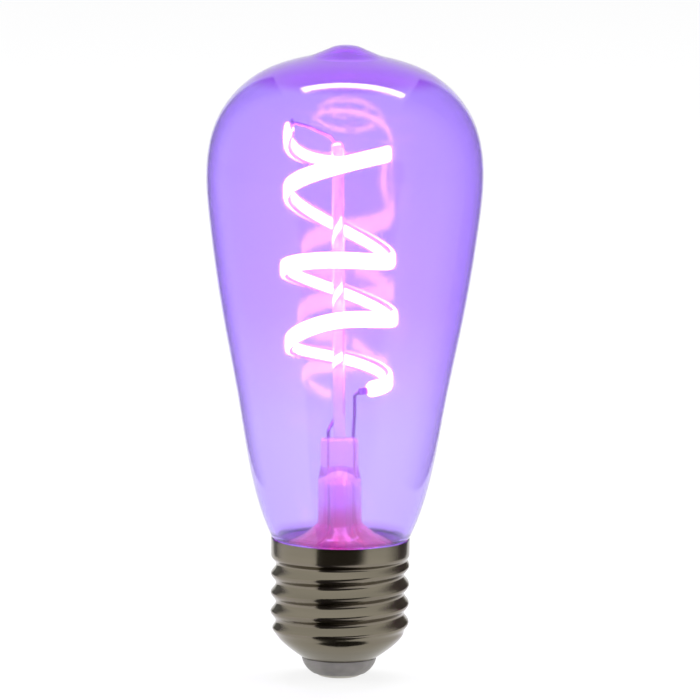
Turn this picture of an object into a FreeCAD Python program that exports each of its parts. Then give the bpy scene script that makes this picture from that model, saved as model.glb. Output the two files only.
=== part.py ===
"""LED filament bulb with an E27 screw cap, in millimetres, +Z up along the bulb's axis.

The origin is the middle of the foot of the centre contact, so the cap is below and the glass above.
The cap is rolled sheet with a true helical thread. The glass is blown with a thin wall. Inside it
a flared stem carries a glass post, and one flexible filament strip winds around the post.
"""

import FreeCAD, Part
import math
import os

from FreeCAD import Vector

# Fits
seat = 0.05          # clearance between pieces that sit on each other
seal_gap = 0.15      # clearance between the flare's rim and the neck

# Screw cap, E27
thread_pitch = 3.629
thread_crest_d = 26.2
thread_depth = 1.0
thread_root_d = thread_crest_d - 2 * thread_depth
thread_start = 1.9        # height of the crest on the +X side below the thread's upper end
thread_length = 14.8
sheet = 0.3
collar_length = 3.1       # plain band between the thread and the rim
cone_height = 4.75        # rounded cone between the thread and the insulator
cap_foot_d = 14.2         # outside diameter of the shell where it grips the insulator
run_out = 1.3             # height over which the thread fades at each end

# Insulator and centre contact
contact_d = 8.8
contact_height = 1.1
contact_plate_wall = 0.5
eyelet_d = 3.0
eyelet_depth = 3.2
solder_d = 2.6
insulator_face_d = 10.2
insulator_skirt = 3.0     # bare height of the insulator between the contact and the shell
insulator_lip = 2.2       # height of the insulator inside the shell above the shell's foot
wire_hole_d = 1.4

# Glass envelope
glass_wall = 0.8
widest_d = 52.1
widest_height = 70.45     # widest circle above the cap's rim
dome_rise = 22.0          # top of the dome above the widest circle
tip_d = 11.0              # button left where the blown glass was closed
tip_rise = 1.25
tip_sink = 0.5            # how far the button's edge lies below the top of the dome
shoulder_overhang = 0.05  # how far the glass above the rim stands out past the thread's crests
shoulder_d = thread_crest_d + 2 * shoulder_overhang
rim_gap = 0.6             # height of the glass shoulder above the cap's rim
neck_clearance = 0.25     # between the neck and the inside of the thread's grooves
neck_d = thread_root_d - 2 * (sheet + neck_clearance)
neck_depth = 5.8          # neck's end below the cap's rim
neck_taper = 2.3          # height over which the shoulder narrows to the neck
# Shares of the radius and the rise that the dome's outline passes through, from the top down
dome_shape = [(0.30, 0.948), (0.58, 0.836), (0.7785, 0.6645), (0.928, 0.407)]
# Shares of the narrowing and of the drop that the body's outline passes through, below the widest circle
body_shape = [(0.05, 0.145), (0.271, 0.412), (0.50, 0.629), (0.721, 0.848), (0.8465, 0.9306)]

# Stem: flare, tube and pinch
stem_wall = 0.9
stem_tube_d = 8.3
flare_top = 4.4           # top of the flare above the cap's rim
flare_brim_depth = 2.7    # where the flare turns down along the neck, below the cap's rim
stem_tube_length = 6.45   # straight tube above the flare
pinch_width = 7.2
pinch_thickness = 3.2
pinch_height = 5.4
pinch_shoulder = 3.0      # height over which the round tube turns into the flat pinch
pinch_round = 0.7
hollow_squash = 0.75      # height of the hollow's domed end as a share of its radius
exhaust_d = 3.0
exhaust_bore = 1.6
exhaust_below_rim = 12.5  # closed end of the exhaust tube below the cap's rim
mount_lean = 1.0          # degrees by which the stem and all that it carries lean towards -X

# Post and lead wires
post_d = 2.3
post_headroom = 16.9      # between the post's upper end and the top of the dome
lead_d = 0.6
seal_wire_d = 0.4
outer_lead_d = 0.7
lead_short_x = 2.6        # where the leads stand in the pinch
lead_long_x = -2.1
short_lead_height = 8.2   # height above the pinch where the short lead turns to the filament

# Filament strip
strip_width = 1.3         # flexible carrier
strip_thickness = 0.2
chip_length = 1.1
chip_width = 0.55
chip_height = 0.2
chip_pitch = 2.8
coat_width = 2.7          # silicone coating around the carrier and its chips
coat_thickness = 1.25
coat_clearance = 0.05
tab_width = 1.3
tab_thickness = 0.25
tab_length = 2.2
tab_overlap = 0.9         # bare carrier under each tab
# The strip's middle line at each quarter turn, from the left side of its top turn downwards:
# radius of the turn, and height above the pinch in percent of the post's length
strip_route = [
    (9.2, 101.5), (8.7, 92.1), (9.1, 96.2), (9.0, 94.2), (9.3, 83.8), (9.5, 69.7),
    (9.8, 61.0), (9.8, 63.2), (10.0, 58.0), (10.1, 47.9), (10.2, 41.3), (9.6, 42.9),
    (9.2, 32.6), (9.1, 25.5), (9.2, 20.4), (9.3, 18.9),
]
strip_lead_in = 22.0      # degrees of strip before the first station
strip_run_on = 57.0       # degrees of strip after the last right-hand station
strip_lead_in_rise = 2.7  # height gained over the lead-in
strip_forward = 2.5       # the turns' axis in front of the post's

# Driver in the cap
board_clearance = 1.8     # between the board and the inside of the thread's grooves
board_d = thread_root_d - 2 * (sheet + board_clearance)
board_thickness = 1.0
rectifier_out = 0.31 * board_d
hookup_clearance = 0.55   # between the rectifier and the wire to the shell
board_below_rim = 15.2    # upper face of the board below the cap's rim
capacitor_d = 5.0
capacitor_length = 8.0
capacitor_stand = 0.3
rectifier_size = (4.7, 3.9, 1.6)
driver_chip_size = (4.9, 3.9, 1.5)
leg_size = (1.1, 0.5, 0.2)
chip_resistor_size = (2.0, 1.25, 0.5)
fuse_d = 2.4
fuse_clearance = 0.35     # between the fuse resistor and the bead below it
hookup_d = 0.6

# Heights worked out from the sizes above
z_insulator = contact_height
z_foot = z_insulator + insulator_skirt
z_thread_foot = z_foot + cone_height
z_thread_top = z_thread_foot + thread_length
z_rim = z_thread_top + collar_length
z_shoulder = z_rim + rim_gap
z_widest = z_rim + widest_height
z_dome = z_widest + dome_rise
z_neck_end = z_rim - neck_depth
z_flare_top = z_rim + flare_top
z_tube_top = z_flare_top + stem_tube_length
hollow_foot = z_tube_top - 1.0
z_pinch_foot = z_tube_top + pinch_shoulder
z_pinch_top = z_pinch_foot + pinch_height
post_length = z_dome - post_headroom - z_pinch_top
z_board_top = z_rim - board_below_rim
z_board_foot = z_board_top - board_thickness
z_fuse_top = z_board_foot - 0.4
z_fuse_foot = z_foot + insulator_lip + fuse_clearance

crest_r = thread_crest_d / 2
root_r = thread_root_d / 2
foot_r = cap_foot_d / 2
mean_r = (crest_r + root_r) / 2
neck_r = neck_d / 2
brim_r = neck_r - glass_wall - seal_gap
tube_r = stem_tube_d / 2
UP = Vector(0, 0, 1)


def polar(radius, degrees, z):
    """Point at a radius and a bearing from +X about the axis."""
    angle = math.radians(degrees)
    return Vector(radius * math.cos(angle), radius * math.sin(angle), z)


def smooth_step(low, high, value):
    """0 below low, 1 above high and an even curve between."""
    share = min(1.0, max(0.0, (value - low) / (high - low)))
    return share * share * (3 - 2 * share)


def turned(edges):
    """Solid of revolution of a closed outline in the XZ plane."""
    face = Part.Face(Part.Wire(Part.__sortEdges__(edges)))
    return face.revolve(Vector(0, 0, 0), UP, 360)


def lines(points):
    """Straight edges through points given as (radius, height)."""
    spots = [Vector(r, 0, z) for r, z in points]
    return [Part.makeLine(a, b) for a, b in zip(spots, spots[1:])]


def spline(points, first=None, last=None):
    """Smooth edge through points given as (radius, height)."""
    curve = Part.BSplineCurve()
    spots = [Vector(r, 0, z) for r, z in points]
    if first and last:
        curve.interpolate(Points=spots, InitialTangent=Vector(*first), FinalTangent=Vector(*last))
    else:
        curve.interpolate(Points=spots)
    return curve


def wire_rod(points, diameter, bend=1.0):
    """Round wire along straight runs with a bend of the given radius at each corner."""
    path = rounded_path(points, bend)
    start = path.Edges[0]
    heading = start.tangentAt(start.FirstParameter)
    ring = Part.Wire(Part.makeCircle(diameter / 2, points[0], heading))
    return path.makePipeShell([ring], True, False)


def rounded_path(points, bend):
    """Wire through the points with tangent arcs in place of its corners."""
    edges = []
    here = points[0]
    for before, corner, after in zip(points, points[1:], points[2:]):
        inward = (before - corner).normalize()
        onward = (after - corner).normalize()
        half = inward.getAngle(onward) / 2
        run = min((before - corner).Length, (after - corner).Length)
        cut = min(bend / math.tan(half), 0.45 * run)
        first = corner + inward * cut
        last = corner + onward * cut
        middle = corner + (inward + onward).normalize() * (cut / math.cos(half) - cut * math.tan(half))
        edges.append(Part.makeLine(here, first))
        edges.append(Part.Arc(first, middle, last).toShape())
        here = last
    edges.append(Part.makeLine(here, points[-1]))
    return Part.Wire(edges)


def lean(shape):
    """The stem and its load lean by a small angle about the middle of the flare's seal."""
    leaning = shape.copy()
    leaning.rotate(Vector(0, 0, z_neck_end), Vector(0, 1, 0), -mount_lean)
    return leaning


def lean_point(point):
    """A point that leans with the stem."""
    pivot = Vector(0, 0, z_neck_end)
    turn = FreeCAD.Rotation(Vector(0, 1, 0), -mount_lean)
    return pivot + turn.multVec(point - pivot)


# Screw cap

def cone_radius(z):
    """Outside radius of the rounded cone below the thread."""
    share = min(1.0, max(0.0, (z - z_foot) / (cone_height + run_out)))
    return foot_r + (mean_r - foot_r) * math.sin(math.pi / 2 * share)


def plain_radius(z):
    """Outside radius of the shell without its thread: cone, thread's middle and collar."""
    collar_on = smooth_step(z_thread_top - run_out, z_thread_top, z)
    return cone_radius(z) * (1 - collar_on) + crest_r * collar_on


def thread_rise(degrees, z):
    """How far the knuckle thread stands out from its middle; it fades at both ends."""
    on = smooth_step(z_thread_foot - 0.4 * run_out, z_thread_foot + run_out, z)
    on *= 1 - smooth_step(z_thread_top - run_out, z_thread_top, z)
    crest_z = z_thread_top - thread_start + thread_pitch * degrees / 360
    return on * (crest_r - root_r) / 2 * math.cos(2 * math.pi * (z - crest_z) / thread_pitch)


def cap_solid(inset):
    """All that lies inside one side of the sheet, under a smooth helical surface.

    The surface is a cubic spline, which cuts inside its control points by a known share of
    each wave, so the points stand out by that much more.
    """
    columns, per_pitch = 16, 8
    round_share = (2 + math.cos(2 * math.pi / columns)) / 3
    wave_share = (2 + math.cos(2 * math.pi / per_pitch)) / 3
    count = round((z_rim - z_foot) * per_pitch / thread_pitch)
    rows = []
    for i in range(count + 1):
        z = z_foot + (z_rim - z_foot) * i / count
        bearings = [360 * k / columns for k in range(columns)]
        radii = [plain_radius(z) + thread_rise(b, z) / wave_share - inset for b in bearings]
        rows.append([polar(r / round_share, b, z) for r, b in zip(radii, bearings)])
    surface = Part.BSplineSurface()
    surface.buildFromPolesMultsKnots(
        rows, [4] + [1] * (count - 3) + [4], [1] * (columns + 1),
        list(range(count - 1)), list(range(columns + 1)), False, True, 3, 3)
    wall = surface.toShape()
    faces = [wall]
    for z in (z_foot, z_rim):
        rim = [e for e in wall.Edges if e.BoundBox.ZLength < 1e-3 and abs(e.BoundBox.ZMin - z) < 1e-3]
        faces.append(Part.Face(Part.Wire(rim)))
    shell = Part.makeShell(faces)
    shell.sewShape(1e-4)
    return Part.Solid(shell)


def cap_shell():
    """Rolled sheet of even thickness, open at both ends."""
    return cap_solid(0.0).cut(cap_solid(sheet)).Solids[0]


def cap_insulator():
    """Glassy bead that fills the shell's foot and stands out below it, bored for the eyelet."""
    face_r = insulator_face_d / 2
    lip_levels = [z_foot + insulator_lip * share for share in (0.0, 0.15, 0.4, 0.7, 1.0)]
    side = [(cone_radius(z) - sheet - seat, z) for z in lip_levels]
    skirt = spline([(face_r, z_insulator), (foot_r - 0.45, z_insulator + 0.55 * insulator_skirt),
                    (foot_r, z_foot - seat)]).toShape()
    bore = eyelet_d / 2 + seat
    step = z_insulator + eyelet_depth + seat
    hole = wire_hole_d / 2
    top = z_foot + insulator_lip
    edges = [skirt]
    edges += lines([(foot_r, z_foot - seat), (side[0][0], z_foot - seat), side[0]])
    edges.append(spline(side).toShape())
    edges += lines([side[-1], (hole, top), (hole, step), (bore, step), (bore, z_insulator), (face_r, z_insulator)])
    return turned(edges)


def contact_plate():
    """Pressed contact: a shallow domed dish with a tubular eyelet in the bead."""
    rim_r = contact_d / 2
    wall = contact_plate_wall
    eye = eyelet_d / 2
    flat = 0.5 * rim_r
    top = z_insulator - seat
    foot = 0.35
    hole = solder_d / 2
    edges = [
        spline([(hole, foot * 0.4), (flat, foot), (rim_r - 0.25, top - 0.35), (rim_r, top)]).toShape(),
    ]
    edges += lines([
        (rim_r, top), (eye, top), (eye, z_insulator + eyelet_depth), (eye - wall / 2, z_insulator + eyelet_depth),
        (eye - wall / 2, foot + wall), (hole, foot + wall), (hole, foot * 0.4),
    ])
    return turned(edges)


def centre_solder():
    """Drop of solder that closes the eyelet and makes the lowest point of the bulb."""
    r = solder_d / 2 - seat
    drop = spline([(0, 0), (0.6 * r, 0.05), (r, 0.3)], (1, 0, 0), (0.4, 0, 1)).toShape()
    edges = [drop] + lines([(r, 0.3), (r, 0.8), (0, 0.8), (0, 0)])
    return turned(edges)


def cement_ring():
    """Cement between the neck and the collar."""
    outer = crest_r - sheet - seat
    low = z_thread_top + 0.1
    high = z_rim - 0.5
    neck = neck_r + seat
    shoulder = neck_radius(high) + seat
    bend = z_shoulder - neck_taper
    return turned(lines([(outer, low), (outer, high), (shoulder, high), (neck, bend), (neck, low), (outer, low)]))


# Glass

def neck_radius(z):
    """Outside radius of the glass between its shoulder and the straight neck."""
    share = min(1.0, max(0.0, (z_shoulder - 0.5 - z) / (neck_taper - 0.5)))
    return (shoulder_d / 2 - 0.5) * (1 - share) + neck_r * share


def envelope_outline():
    """Outside of the glass from the top of the dome to the shoulder at the cap's rim."""
    r = widest_d / 2
    drop = z_widest - z_shoulder
    narrowing = r - shoulder_d / 2
    points = [(0, z_dome)]
    points += [(r * a, z_widest + dome_rise * b) for a, b in dome_shape]
    points.append((r, z_widest))
    points += [(r - narrowing * a, z_widest - drop * b) for a, b in body_shape]
    points.append((shoulder_d / 2, z_shoulder))
    return spline(points, (1, 0, 0), (-0.5, 0, -1))


def inner_outline(outer, samples=26):
    """The same outline moved in by the wall's thickness."""
    points = []
    first, last = outer.FirstParameter, outer.LastParameter
    for i in range(samples + 1):
        at = first + (last - first) * i / samples
        spot = outer.value(at)
        along = outer.tangent(at)[0]
        points.append((spot.x - glass_wall * -along.z if i else 0, spot.z - glass_wall * along.x))
    return spline(points)


def glass_envelope():
    outer = envelope_outline()
    inner = inner_outline(outer)
    end = inner.value(inner.LastParameter)
    start = inner.value(inner.FirstParameter)
    shoulder = (shoulder_d / 2, z_shoulder)
    tuck = (shoulder_d / 2 - 0.5, z_shoulder - 0.5)
    tuck_arc = Part.Arc(Vector(*(shoulder[0], 0, shoulder[1])),
                        Vector(shoulder_d / 2 - 0.12, 0, z_shoulder - 0.36),
                        Vector(tuck[0], 0, tuck[1])).toShape()
    bend = z_shoulder - neck_taper
    inside_r = neck_r - glass_wall
    edges = [outer.toShape(), inner.toShape(), tuck_arc]
    edges += lines([tuck, (neck_r, bend), (neck_r, z_neck_end), (inside_r, z_neck_end), (inside_r, bend),
                    (end.x, end.z)])
    edges += lines([(0, start.z), (0, z_dome)])
    return turned(edges).fuse(envelope_tip()).removeSplitter()


def envelope_tip():
    """Low rounded button on top of the dome."""
    r = tip_d / 2
    top = z_dome + tip_rise
    height = tip_rise + tip_sink
    shape = [(0, 0), (0.5, 0.25), (0.8, 0.7), (1.0, 1.0)]
    side = spline([(r * a, top - height * b) for a, b in shape], (1, 0, 0), (1, 0, -0.7)).toShape()
    foot = z_dome - 0.7 * glass_wall
    return turned([side] + lines([(r, top - height), (0.8 * r, foot), (0, foot), (0, top)]))


def flare_outline(inset):
    """Bell of the flare from its brim up to the tube, moved in by a wall."""
    reach = brim_r - tube_r
    rise = z_flare_top - (z_rim - flare_brim_depth)
    low = z_rim - flare_brim_depth
    shape = [(1.0, 0.0), (0.83, 0.30), (0.40, 0.50), (0.08, 0.75), (0.0, 1.0)]
    points = [(tube_r - inset + reach * a, low + rise * b - inset * a) for a, b in shape]
    return spline(points, (0, 0, 1), (0, 0, 1)).toShape(), points


def pinch_section(z, width, thickness, corner):
    """Rounded rectangle across the pinch."""
    block = Part.makePlane(width, thickness, Vector(-width / 2, -thickness / 2, z))
    solid = block.extrude(UP)
    rounded = solid.makeFillet(corner, [e for e in solid.Edges if e.BoundBox.ZLength > 0.5])
    face = min(rounded.Faces, key=lambda f: f.CenterOfMass.z)
    return face.OuterWire


def stem_glass():
    """Flare, tube and pinch: one tube, flared at one end and pressed flat at the other."""
    outer, outer_points = flare_outline(0.0)
    inner, inner_points = flare_outline(stem_wall)
    inside = tube_r - stem_wall
    dome_z = hollow_foot
    edges = [outer, inner]
    edges += lines([outer_points[-1], (tube_r, z_tube_top), (0, z_tube_top), (0, dome_z)])
    edges += lines([(0, dome_z), (inside, dome_z), inner_points[-1]])
    edges += lines([inner_points[0], (brim_r - stem_wall, z_neck_end), (brim_r, z_neck_end), outer_points[0]])
    bell = turned(edges)
    ring = Part.Wire(Part.makeCircle(tube_r, Vector(0, 0, z_tube_top)))
    flat = pinch_section(z_pinch_foot, pinch_width, pinch_thickness, 0.45 * pinch_thickness)
    shoulder = Part.makeLoft([ring, flat], True, False)
    block = Part.Face(flat).extrude(UP * pinch_height)
    top_edges = [e for e in block.Edges if e.BoundBox.ZMin > z_pinch_top - 1e-6]
    block = block.makeFillet(pinch_round, top_edges)
    solid = bell.fuse([shoulder, block]).removeSplitter()
    cavity = Part.makeSphere(inside, Vector(0, 0, 0), UP, 0, 90, 360)
    squash = FreeCAD.Matrix()
    squash.scale(1, 1, hollow_squash)
    cavity = cavity.transformGeometry(squash)
    cavity.translate(Vector(0, 0, dome_z))
    solid = solid.cut(cavity)
    for x in (lead_short_x, lead_long_x):
        bore = Part.makeCylinder(seal_wire_d / 2, 2 * (z_pinch_top - hollow_foot), Vector(x, 0, hollow_foot))
        solid = solid.cut(bore)
    return lean(solid)


def exhaust_tube():
    """Tube through which the bulb was pumped, melted shut at its lower end."""
    r = exhaust_d / 2
    bore = exhaust_bore / 2
    inside = tube_r - stem_wall
    top = hollow_foot + hollow_squash * math.sqrt(inside ** 2 - r ** 2) - seat
    foot = z_rim - exhaust_below_rim
    tip = spline([(0, foot), (0.55 * r, foot + 0.25), (r, foot + 1.6)], (1, 0, 0), (0, 0, 1)).toShape()
    edges = [tip] + lines([(r, foot + 1.6), (r, top), (bore, top), (bore, foot + 2.6), (0, foot + 1.5), (0, foot)])
    return lean(turned(edges))


def centre_post():
    """Solid glass rod on the pinch, with a rounded upper end."""
    r = post_d / 2
    top = z_pinch_top + post_length
    cap = Part.Arc(Vector(0, 0, top), Vector(r * math.sin(math.pi / 4), 0, top - r * (1 - math.cos(math.pi / 4))),
                   Vector(r, 0, top - r)).toShape()
    edges = [cap] + lines([(r, top - r), (r, z_pinch_top + seat), (0, z_pinch_top + seat), (0, top)])
    return lean(turned(edges))


# Filament

def route_law():
    """Radius and height of the strip as a smooth function of quarter turns."""
    turns = [-strip_lead_in / 90] + list(range(len(strip_route)))
    stations = [(r, post_length * share / 100) for r, share in strip_route]
    stations.insert(0, (stations[0][0], stations[0][1] + strip_lead_in_rise))
    curve = Part.BSplineCurve()
    curve.interpolate(Points=[Vector(r, z, 0) for r, z in stations], Parameters=[float(t) for t in turns])
    return curve


LAW = route_law()
FIRST_TURN = -strip_lead_in / 90
LAST_TURN = len(strip_route) - 2 + strip_run_on / 90


def strip_point(turn):
    """Point of the strip's middle line after a number of quarter turns."""
    law = LAW.value(turn)
    return polar(law.x, 180 - 90 * turn, z_pinch_top + law.y) - Vector(0, strip_forward, 0)


def strip_path(first, last):
    steps = math.ceil((last - first) * 3)
    turns = [first + (last - first) * i / steps for i in range(steps + 1)]
    curve = Part.BSplineCurve()
    curve.interpolate(Points=[strip_point(t) for t in turns])
    return curve


def strip_frame(curve, parameter):
    """Point, direction along the strip, outward direction and upward direction."""
    spot = curve.value(parameter)
    along = Vector(*curve.tangent(parameter)[0])
    out = along.cross(UP).normalize()
    if out.dot(Vector(spot.x, spot.y, 0)) < 0:
        out = out * -1
    up = out.cross(along).normalize()
    return spot, along, out, up if up.z > 0 else up * -1


def sweep(curve, outline):
    """Sweep an outline, given as (outward, upward) offsets, with its width kept upright."""
    spot, along, out, up = strip_frame(curve, curve.FirstParameter)
    corners = [spot + out * a + up * b for a, b in outline]
    section = Part.makePolygon(corners + corners[:1])
    pipe = Part.BRepOffsetAPI.MakePipeShell(Part.Wire(curve.toShape()))
    pipe.setBiNormalMode(UP)
    pipe.add(section)
    pipe.build()
    pipe.makeSolid()
    return pipe.shape()


def band(thickness, width, offset=0.0):
    """Rectangle across the strip, moved outwards by an offset."""
    t, w = thickness / 2, width / 2
    return [(offset - t, -w), (offset + t, -w), (offset + t, w), (offset - t, w)]


def filament_carrier():
    curve = strip_path(FIRST_TURN, LAST_TURN)
    return lean(sweep(curve, band(strip_thickness, strip_width)))


def led_chips():
    """A row of chips on the outer face of the carrier."""
    curve = strip_path(FIRST_TURN, LAST_TURN)
    bare = 2 * tab_overlap
    count = math.floor((curve.length() - 2 * bare) / chip_pitch)
    start = (curve.length() - (count - 1) * chip_pitch) / 2
    chips = []
    for i in range(count):
        at = curve.parameterAtDistance(start + i * chip_pitch, curve.FirstParameter)
        spot, along, out, up = strip_frame(curve, at)
        corner = spot + out * (strip_thickness / 2 + seat)
        corner = corner - along * (chip_length / 2) - up * (chip_width / 2)
        base = Part.makePolygon([corner, corner + along * chip_length,
                                 corner + along * chip_length + up * chip_width, corner + up * chip_width, corner])
        chips.append(Part.Face(base).extrude(out * chip_height))
    return lean(Part.Compound(chips))


def filament_coating():
    """Phosphor silicone round the carrier and its chips, open at both ends for the tabs."""
    margin = tab_overlap / 14
    curve = strip_path(FIRST_TURN + margin, LAST_TURN - margin)
    t, w, cut = coat_thickness / 2, coat_width / 2, 0.3
    shift = chip_height / 2
    outside = [(shift - t, -w + cut), (shift - t + cut, -w), (shift + t - cut, -w), (shift + t, -w + cut),
               (shift + t, w - cut), (shift + t - cut, w), (shift - t + cut, w), (shift - t, w - cut)]
    room = strip_thickness + chip_height + seat + 2 * coat_clearance
    hollow = band(room, strip_width + 2 * coat_clearance, room / 2 - strip_thickness / 2 - coat_clearance)
    wide = strip_path(FIRST_TURN, LAST_TURN)
    return lean(sweep(curve, outside).cut(sweep(wide, hollow)))


def filament_tab(turn, way):
    """Metal end plate that clips on one end of the carrier and takes the lead."""
    spot = strip_point(turn)
    ahead = strip_point(turn + 0.02 * way)
    along = (ahead - spot).normalize()
    out = along.cross(UP).normalize()
    if out.dot(Vector(spot.x, spot.y, 0)) < 0:
        out = out * -1
    up = out.cross(along).normalize()
    corner = spot + out * (strip_thickness / 2 + seat) - up * (tab_width / 2) - along * (tab_overlap / 2)
    base = Part.makePolygon([corner, corner + along * tab_length, corner + along * tab_length + up * tab_width,
                             corner + up * tab_width, corner])
    plate = Part.Face(base).extrude(out * tab_thickness)
    grip = spot + along * (tab_length - tab_overlap / 2 - lead_d) + out * (strip_thickness / 2 + seat)
    return plate, grip - out * (lead_d / 2 + seat)


def filament_tab_top():
    return lean(filament_tab(FIRST_TURN, -1)[0])


def filament_tab_bottom():
    return lean(filament_tab(LAST_TURN, 1)[0])


# Lead wires

def lead_long():
    """Runs up behind the post, over its upper end and out to the upper tab."""
    grip = filament_tab(FIRST_TURN, -1)[1]
    beside = post_d / 2 + lead_d / 2 + 4 * seat
    top = z_pinch_top + post_length
    points = [
        Vector(lead_long_x, 0, z_pinch_top + seat),
        Vector(lead_long_x, 0, z_pinch_top + 1.4),
        Vector(-0.4, beside, z_pinch_top + 4.5),
        Vector(-0.4, beside, top - 0.6),
        Vector(-1.6, 0.4, top + 1.0),
        grip + Vector(2.6, 1.7, -0.9),
        grip,
    ]
    return lean(wire_rod(points, lead_d))


def lead_short():
    """Stands beside the post and turns out to the lower tab."""
    grip = filament_tab(LAST_TURN, 1)[1]
    points = [
        Vector(lead_short_x, 0, z_pinch_top + seat),
        Vector(lead_short_x + 0.3, 0, z_pinch_top + 0.6 * short_lead_height),
        Vector(lead_short_x + 0.3, -0.4, z_pinch_top + short_lead_height),
        grip,
    ]
    return lean(wire_rod(points, lead_d))


def outer_lead_top(x):
    """Height just under the stem's hollow where an outer lead meets its seal wire."""
    edge = abs(x) + outer_lead_d / 2
    return hollow_foot + hollow_squash * math.sqrt((tube_r - stem_wall) ** 2 - edge ** 2) - seat


def seal_wire(x):
    """Thin wire that the pinch is pressed on."""
    foot = outer_lead_top(x) + seat
    rod = Part.makeCylinder(seal_wire_d / 2, z_pinch_top - foot, Vector(x, 0, foot))
    return lean(rod)


def outer_lead(x, side):
    """Copper wire from the pinch down through the stem to the driver board."""
    top = lean_point(Vector(x, 0, outer_lead_top(x)))
    level = lean_point(Vector(x, 0, z_rim + 1.0))
    points = [
        top,
        level,
        Vector(side * 0.28 * board_d, 0.6, z_rim - 5.0),
        Vector(side * 0.31 * board_d, 0.8, z_board_top + seat),
    ]
    return wire_rod(points, outer_lead_d, 2.0)


# Driver

def driver_board():
    return Part.makeCylinder(board_d / 2, board_thickness, Vector(0, 0, z_board_foot))


def leaded_package(size, centre, upward):
    """Moulded body with two legs on each long side, seated on one face of the board."""
    length, width, height = size
    leg_long, leg_wide, leg_thick = leg_size
    body = Part.makeBox(length, width, height, Vector(-length / 2, -width / 2, leg_thick))
    body = body.makeChamfer(0.25, [e for e in body.Edges if e.BoundBox.ZMin > height])
    parts = [body]
    for x in (-0.3 * length, 0.3 * length):
        for y in (-1, 1):
            inner = y * (width / 2 - 0.4)
            outer = y * (width / 2 + leg_long)
            parts.append(Part.makeBox(leg_wide, abs(outer - inner), leg_thick,
                                      Vector(x - leg_wide / 2, min(inner, outer), 0)))
    solid = parts[0].fuse(parts[1:])
    if not upward:
        solid.rotate(Vector(0, 0, 0), Vector(1, 0, 0), 180)
    solid.translate(centre)
    return solid


def rectifier():
    return leaded_package(rectifier_size, Vector(0, -rectifier_out, z_board_top + seat), True)


def driver_chip():
    return leaded_package(driver_chip_size, Vector(0, 0.3 * board_d, z_board_foot - seat), False)


def chip_resistors():
    length, width, height = chip_resistor_size
    spots = [(-0.32 * board_d, -0.13 * board_d), (0.32 * board_d, -0.13 * board_d)]
    blocks = []
    for x, y in spots:
        blocks.append(Part.makeBox(length, width, height, Vector(x - length / 2, y - width / 2, z_board_top + seat)))
    return Part.Compound(blocks)


def capacitor():
    """Radial can that stands on the board, with its sleeve's groove and two legs."""
    r = capacitor_d / 2
    foot = z_board_top + capacitor_stand
    top = foot + capacitor_length
    groove = foot + 1.2
    can = turned(lines([(0, foot), (r - 0.2, foot), (r, foot + 0.2), (r, groove), (r - 0.3, groove + 0.3),
                        (r, groove + 0.6), (r, top - 0.3), (r - 0.3, top), (0, top), (0, foot)]))
    legs = [Part.makeCylinder(0.25, capacitor_stand + 0.2, Vector(x, 0, z_board_top + seat)) for x in (-1, 1)]
    solid = can.fuse(legs)
    solid.translate(Vector(0, 0.32 * board_d, 0))
    return solid


def fuse_resistor():
    """Small axial resistor that stands under the board and takes the contact wire."""
    r = fuse_d / 2
    top, foot = z_fuse_top, z_fuse_foot
    bead = 0.75 * r
    body = turned(lines([(0, foot), (bead, foot), (r, foot + 0.4), (r, foot + 1.1), (bead, foot + 1.5),
                         (bead, top - 1.5), (r, top - 1.1), (r, top - 0.4), (bead, top), (0, top), (0, foot)]))
    lead = Part.makeCylinder(hookup_d / 2, z_board_foot - seat - top + r, Vector(0, 0, top - r))
    return body.fuse(lead)


def contact_wire():
    """From the fuse resistor through the bead to the solder in the eyelet."""
    foot = 0.8 + seat
    return Part.makeCylinder(hookup_d / 2, z_fuse_foot - seat - foot, Vector(0, 0, foot))


def shell_wire():
    """From the board to the inside of the collar, where it is pinched by the neck."""
    r = rectifier_out + rectifier_size[1] / 2 + hookup_clearance + hookup_d / 2
    points = [
        Vector(0, -r, z_board_top + seat),
        Vector(0, -r, z_board_top + 3.0),
        Vector(0, -(root_r - sheet - 0.5), z_neck_end - 1.0),
    ]
    return wire_rod(points, hookup_d)


PIECES = {
    "cap_shell": cap_shell,
    "cap_insulator": cap_insulator,
    "contact_plate": contact_plate,
    "centre_solder": centre_solder,
    "cement_ring": cement_ring,
    "glass_envelope": glass_envelope,
    "stem_glass": stem_glass,
    "exhaust_tube": exhaust_tube,
    "centre_post": centre_post,
    "lead_long": lead_long,
    "lead_short": lead_short,
    "seal_wire_long": lambda: seal_wire(lead_long_x),
    "seal_wire_short": lambda: seal_wire(lead_short_x),
    "outer_lead_long": lambda: outer_lead(lead_long_x, -1),
    "outer_lead_short": lambda: outer_lead(lead_short_x, 1),
    "filament_carrier": filament_carrier,
    "led_chips": led_chips,
    "filament_coating": filament_coating,
    "filament_tab_top": filament_tab_top,
    "filament_tab_bottom": filament_tab_bottom,
    "driver_board": driver_board,
    "rectifier": rectifier,
    "driver_chip": driver_chip,
    "chip_resistors": chip_resistors,
    "capacitor": capacitor,
    "fuse_resistor": fuse_resistor,
    "contact_wire": contact_wire,
    "shell_wire": shell_wire,
}


def main():
    os.makedirs("parts", exist_ok=True)
    for name, make in PIECES.items():
        shape = make()
        shape.exportStep(f"parts/{name}.step")
        print(name, "solids", len(shape.Solids), "valid", shape.isValid(), "volume", round(shape.Volume, 2))


main()
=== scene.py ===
"""LED filament bulb with violet glass, dressed on its CAD frame and set on a plain pale stage."""
import math

import bpy
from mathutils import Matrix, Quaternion, Vector


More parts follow.
